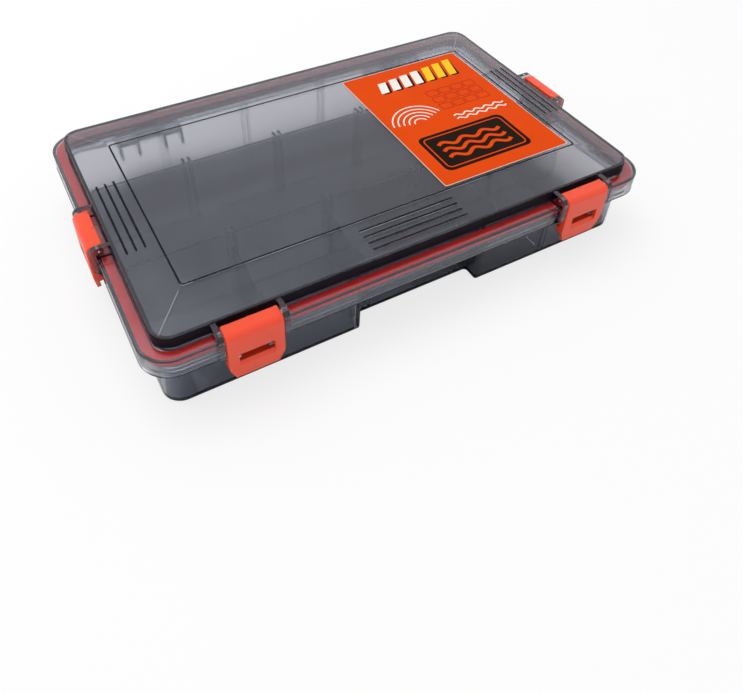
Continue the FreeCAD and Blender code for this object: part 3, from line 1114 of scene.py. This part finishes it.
@dataclass
class Lid:
    """Hinged lid with its seal, strips of painted shade at its grooves, skirt and dome, and painted
    highlights.
    """

    smoke: SmokePlastic = SmokePlastic("lid_smoke", (184.0, 180.0, 162.0), 1.0, 0.09)
    silicone: SolidPlastic = SolidPlastic(
        "seal_silicone", (0.93, 0.034, 0.026), (0.98, 0.044, 0.034), 0.45, 0.5, 0.1
    )
    # Near-black strips of painted shade, in the grooves, the panel's frame and under the skirt's
    # edge.
    shade: SolidPlastic = SolidPlastic(
        "groove_painted_shade", (0.005, 0.006, 0.009), (0.011, 0.012, 0.016), 0.6, gloss=0.1
    )
    # Painted shade on the dome's wall, in place of the wall's dark reflection.
    painted_wall_shade: PaintedWallShade = PaintedWallShade(
        "dome_painted_shade", (0.006, 0.005, 0.009), (0.014, 0.012, 0.018)
    )
    # Painted highlights along the lid's crease lines.
    pale: SolidPlastic = SolidPlastic("crease_painted_highlight", (0.34, 0.35, 0.38), (0.44, 0.45, 0.48), 0.4)
    seal_width: float = 4.6
    seal_corner: float = 10.7
    seal_edge: float = 0.6
    seal_gap: float = 0.05
    panel: Point = (110.8, 56.05, 46.2)
    panel_corner: float = 1.6
    # Width of the painted shade in the panel's frame groove.
    panel_painted_shade: float = 0.87
    groove_depth: float = 0.6
    grips: tuple[tuple[str, int, int], ...] = (("front", 4, -90), ("left", 3, 180), ("right", 3, 0))
    grip_length: float = 52.96
    grip_width: float = 1.06
    grip_round: float = 0.98
    grip_pitch: float = 4.25
    grip_start: float = 6.1
    crown: float = 1.2
    bands: Flat = (19.7, 24.2)
    # Height of the strips of painted shade in the grooves.
    shade_strip_height: float = 0.52
    line_edge: float = 0.04
    clear: float = 0.02
    # Size and reach of the painted highlights along the crease lines.
    crease_width: float = 0.22
    crease_thick: float = 0.05
    crease_ends: Flat = (0.10, 0.88)
    rim: Point = (137.5, 87.25, 14.7)
    skirt_low: float = 28.2
    # Width and height of the painted shade line under the skirt's edge.
    skirt_painted_shade: Flat = (0.12, 0.36)
    dome: Point = (130.5, 80.25, 8.8)
    dome_low: float = 38.6
    # Width and height of the band of painted shade on the dome's wall.
    dome_painted_band: Flat = (0.12, 5.5)

    def grip(self, name: str, finish: Material, form: Form, count: int, turn: int) -> None:
        """Lay near-black strips of painted shade in one group of short grooves in the bands round the
        panel.

        Args:
            name: the piece's name.
            finish: its material.
            form: the tree that grows plates.
            count: how many grooves the group has.
            turn: which way it runs from the middle, in degrees to the left of +X.
        """
        along_x = turn % 180 == 0
        half = self.panel[0] if along_x else self.panel[1]
        fall = self.crown / (self.bands[0] if along_x else self.bands[1])
        wide, tall, start = self.grip_width / 2, self.grip_length / 2, half + self.grip_start
        spots = ((-wide, -tall), (wide, -tall), (wide, tall), (-wide, tall))
        corners = [(start + x, y, wide * self.grip_round) for x, y in spots]
        row = Row(count, self.grip_pitch, fall * self.grip_pitch)
        mesh = plates(form, name, finish, corners, self.shade_strip_height, row)
        height = self.panel[2] - fall * self.grip_start - self.groove_depth + self.clear
        turned = Matrix.Rotation(math.radians(turn), 4, "Z")
        mesh.transform(Matrix.Translation((0, 0, height * MM)) @ turned)
        dress(piece_of(mesh, name), finish, "lid", "lid_plastic")

    def ring(
        self, name: str, finish: Material, form: Form, plan: Point, section: Flat, low: float
    ) -> None:
        """Lay a flat band along a rounded rectangle.

        Args:
            name: the piece's name.
            finish: its material.
            form: the tree that grows bands.
            plan: the rectangle's half length, half depth and corner radius.
            section: the band's width and height.
            low: the height of its underside.
        """
        half_x, half_y, corner = plan
        width, height = section
        mesh = form.grow(
            name, finish, Length=2 * half_x, Depth=2 * half_y, Corner=corner,
            Width=width, Height=height, Edge=self.line_edge,
        )
        mesh.transform(Matrix.Translation((0, 0, (low + height / 2) * MM)))
        dress(piece_of(mesh, name), finish, "lid", "lid_plastic")

    def crease_highlights(self, form: Form) -> None:
        """Lay painted highlights, thin pale strips, along the crease lines from the panel's corners
        to the dome's.

        Args:
            form: the tree that grows plates.
        """
        finish = self.pale.material()
        reach_x, reach_y = self.bands
        run = math.hypot(reach_x, reach_y)
        first, last = (share * run for share in self.crease_ends)
        wide = self.crease_width / 2
        spots = [(first, -wide, 0), (last, -wide, 0), (last, wide, 0), (first, wide, 0)]
        dip = Matrix.Rotation(math.atan2(self.crown, run), 4, "Y")
        half_x, half_y, top = self.panel
        for number, (across, along) in enumerate(((1, 1), (-1, 1), (-1, -1), (1, -1)), 1):
            name = f"lid_crease_highlight_{number}"
            # Each crease line gets a painted highlight.
            mesh = plates(form, name, finish, spots, self.crease_thick)
            turn = Matrix.Rotation(math.atan2(along * reach_y, across * reach_x), 4, "Z")
            corner = Vector((across * half_x, along * half_y, top + self.clear)) * MM
            mesh.transform(Matrix.Translation(corner) @ turn @ dip)
            dress(piece_of(mesh, name), finish, "lid", "lid_plastic")

    def grooves(self) -> None:
        """Lay painted shade in the grooves, the panel's frame, under the skirt and on the dome, and
        painted highlights.
        """
        finish = self.shade.material()
        form = plate_form()
        for side, count, turn in self.grips:
            # Each group of grooves gets strips of painted shade.
            self.grip(f"{side}_groove_painted_shade", finish, form, count, turn)
        self.crease_highlights(form)
        bands = seal_form()
        panel = (self.panel[0], self.panel[1], self.panel_corner)
        low = self.panel[2] - self.groove_depth + self.clear
        # Painted shade in the panel's frame groove.
        self.ring("panel_painted_shade", finish, bands, panel, (self.panel_painted_shade, self.shade_strip_height), low)
        # A painted shade line under the skirt's edge, and a band of painted shade on the dome's wall.
        for name, look, wall, section, foot in (
            ("skirt_painted_shade", finish, self.rim, self.skirt_painted_shade, self.skirt_low),
            ("dome_painted_band", self.painted_wall_shade.material(), self.dome, self.dome_painted_band, self.dome_low),
        ):
            out = section[0] / 2 + self.clear
            self.ring(name, look, bands, tuple(size + out for size in wall), section, foot)

    def seal(self) -> None:
        """Make the seal, a band that runs round under the flange."""
        low, high = box_mm("lid_gasket")
        finish = self.silicone.material()
        size = high - low
        tall = size.z - self.seal_gap
        mesh = seal_form().grow(
            "lid_seal", finish, Length=size.x - self.seal_width, Depth=size.y - self.seal_width,
            Corner=self.seal_corner, Width=self.seal_width, Height=tall, Edge=self.seal_edge,
        )
        mesh.transform(Matrix.Translation((0, 0, (low.z + tall / 2) * MM)))
        dress(piece_of(mesh, "lid_seal"), finish, "lid", "seal_silicone", "lid_gasket")

    def build(self) -> None:
        """Dress the lid, make its seal and lay its painted shade and painted highlights."""
        moulding = merged_copy("lid_shell", "lid_moulding")
        dress(moulding, self.smoke.material(), "lid", "lid_plastic", "lid_shell")
        self.seal()
        self.grooves()


@dataclass(frozen=True)
class Bars:
    """Row of slanting printed bars; tall is the first one's height."""

    name: str
    ink: Ink
    spot: Flat
    tall: float
    row: Row
    layer: Layer = Layer.UPPER


@dataclass(frozen=True)
class Motif:
    """Printed pattern that one of the forms grows from its sizes."""

    name: str
    pattern: Pattern
    ink: Ink
    spot: Flat
    layer: Layer
    sizes: dict[str, float]
    turn: float = 0.0


@dataclass
class Card:
    """Printed card on the lid's panel, with layers of ink on a white board."""

    corner: float = 1.2
    gap: float = 0.02
    board_top: float = 0.28
    print_top: float = 0.34
    first_ink: float = 0.37
    sink: float = 0.01
    margin: float = 0.3
    ink_thick: float = 0.03
    bar_slant: float = 0.3
    bar_fill: float = 0.66
    bar_corner: float = 0.4
    bars: tuple[Bars, ...] = (
        Bars("bar_shadows", Ink.BLACK, (16.2, 85.6), 10.4, Row(7, 8.0, 0.0, 0.09), Layer.LOWER),
        Bars("white_bars", Ink.WHITE, (15.0, 86.8), 10.4, Row(4, 8.0, 0.0, 0.09)),
        Bars("yellow_bars", Ink.YELLOW, (47.0, 86.8), 14.14, Row(3, 8.0, 0.0, 0.0662)),
    )
    plate_spot: Flat = (8.0, 9.0)
    plate_size: Flat = (56.0, 31.0)
    plate_corner: float = 4.0
    motifs: tuple[Motif, ...] = (
        Motif("plate_frame", Pattern.CELLS, Ink.ORANGE, (36.0, 24.5), Layer.UPPER, {
            "Columns": 1, "Rows": 1, "Across": 51 / CELL_FILL[0], "Up": 26 / CELL_FILL[1],
            "Corner": 2.6, "Width": 0.8,
        }),
        Motif("plate_waves", Pattern.WAVES, Ink.ORANGE, (16.0, 18.6), Layer.UPPER, {
            "Count": 3, "Step": 5.6, "Length": 40.0, "Swing": 1.6, "Waves": 3, "Width": 2.2,
        }),
        Motif("rust_cells", Pattern.CELLS, Ink.RUST, (42.0, 60.0), Layer.LOWER, {
            "Columns": 4, "Rows": 3, "Across": 8.6, "Up": 7.2, "Corner": 0.8, "Width": 0.5,
        }),
        Motif("pale_ripples", Pattern.RIPPLES, Ink.WHITE, (20.0, 52.0), Layer.LOWER, {
            "Count": 5, "First": 4.0, "Step": 3.1, "Sweep": math.radians(150), "Width": 0.8,
        }, 20.0),
        Motif("pale_waves", Pattern.WAVES, Ink.WHITE, (40.0, 46.0), Layer.LOWER, {
            "Count": 2, "Step": 3.4, "Length": 34.0, "Swing": 0.9, "Waves": 5, "Width": 0.9,
        }),
    )

    def __post_init__(self) -> None:
        """Find where the card lies, and make its forms and finishes."""
        self.low, self.high = box_mm("panel_card")
        self.plates = plate_form()
        self.forms = {
            Pattern.RIPPLES: ripple_form(), Pattern.WAVES: wave_form(), Pattern.CELLS: cell_form()
        }
        self.finish = {ink: ink.value.material() for ink in Ink}

    def height(self, layer: Layer) -> float:
        """Give the height of a layer's underside over the panel, in millimetres."""
        return (self.print_top if layer is Layer.LOWER else self.first_ink) - self.sink

    def lay(
        self, mesh: Mesh, name: str, ink: Ink, spot: Point, *nodes: str, turn: float = 0.0
    ) -> None:
        """Lay a printed shape on the card.

        Args:
            mesh: the shape, made at the origin.
            name: the piece's name.
            ink: its ink.
            spot: its place from the card's lower left corner, and its height over the panel.
            *nodes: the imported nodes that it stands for.
            turn: how far it is turned to the left, in degrees.
        """
        place = Matrix.Translation((Vector(self.low) + Vector(spot)) * MM)
        mesh.transform(place @ Matrix.Rotation(math.radians(turn), 4, "Z"))
        dress(piece_of(mesh, name), self.finish[ink], "lid", "printed_card", *nodes)

    def rectangle(
        self, name: str, ink: Ink, spot: Point, size: Flat, corner: float, top: float, *nodes: str
    ) -> None:
        """Lay a rounded rectangle.

        Args:
            name: the piece's name.
            ink: its ink.
            spot: its lower left corner from the card's, and its height over the panel.
            size: its length and depth.
            corner: its corner radius.
            top: the height of its face over the panel.
            *nodes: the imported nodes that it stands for.
        """
        x, y = size
        corners = [(0, 0, corner), (x, 0, corner), (x, y, corner), (0, y, corner)]
        mesh = plates(self.plates, name, self.finish[ink], corners, top - spot[2])
        self.lay(mesh, name, ink, spot, *nodes)

    def slant(self, bars: Bars) -> None:
        """Lay a row of slanting bars.

        Args:
            bars: the row.
        """
        wide, lean = bars.row.step * self.bar_fill, bars.tall * self.bar_slant
        spots = ((0, 0), (wide, 0), (wide + lean, bars.tall), (lean, bars.tall))
        corners = [(x, y, self.bar_corner) for x, y in spots]
        finish = self.finish[bars.ink]
        mesh = plates(self.plates, bars.name, finish, corners, self.ink_thick, bars.row)
        self.lay(mesh, bars.name, bars.ink, (*bars.spot, self.height(bars.layer)))

    def motif(self, motif: Motif) -> None:
        """Lay a printed pattern, whose bands have their middle at the origin's height.

        Args:
            motif: the pattern.
        """
        mesh = self.forms[motif.pattern].grow(
            motif.name, self.finish[motif.ink], Thickness=self.ink_thick, **motif.sizes
        )
        spot = (*motif.spot, self.height(motif.layer) + self.ink_thick / 2)
        self.lay(mesh, motif.name, motif.ink, spot, turn=motif.turn)

    def build(self) -> None:
        """Lay the board, the orange print and the inks."""
        size = self.high - self.low
        self.rectangle(
            "card_board", Ink.BOARD, (0, 0, self.gap), (size.x, size.y), self.corner,
            self.board_top, "panel_card",
        )
        edge = self.margin
        printed = (size.x - 2 * edge, size.y - 2 * edge)
        under = (edge, edge, self.board_top - self.gap)
        self.rectangle("card_print", Ink.ORANGE, under, printed, self.corner, self.print_top)
        for bars in self.bars:
            self.slant(bars)
        low = self.height(Layer.LOWER)
        self.rectangle(
            "dark_plate", Ink.BLACK, (*self.plate_spot, low), self.plate_size, self.plate_corner,
            low + self.ink_thick,
        )
        for motif in self.motifs:
            self.motif(motif)


@dataclass
class Latches:
    """Swing latches on the rim, with their pins."""

    plastic: SolidPlastic = SolidPlastic(
        "latch_plastic", (0.93, 0.064, 0.014), (0.98, 0.078, 0.019), 0.35, 0.6, 0.55
    )

    def build(self, pins: Pins) -> None:
        """Dress each latch and push in its pin.

        Args:
            pins: what makes the pins.
        """
        finish = self.plastic.material()
        for side in Side:
            node = f"latch_{side.value}"
            swing = merged_copy(node, f"swing_{node}")
            dress(swing, finish, f"{side.value}_latch", "latch_plastic", node)
            pins.build(f"latch_pin_{side.value}", "lid")


def main() -> None:
    """Build every sub-assembly."""
    Studio().build()
    pins = Pins()
    Tray().build(pins)
    Lid().build()
    Card().build()
    Latches().build(pins)


if __name__ == "__main__":
    main()
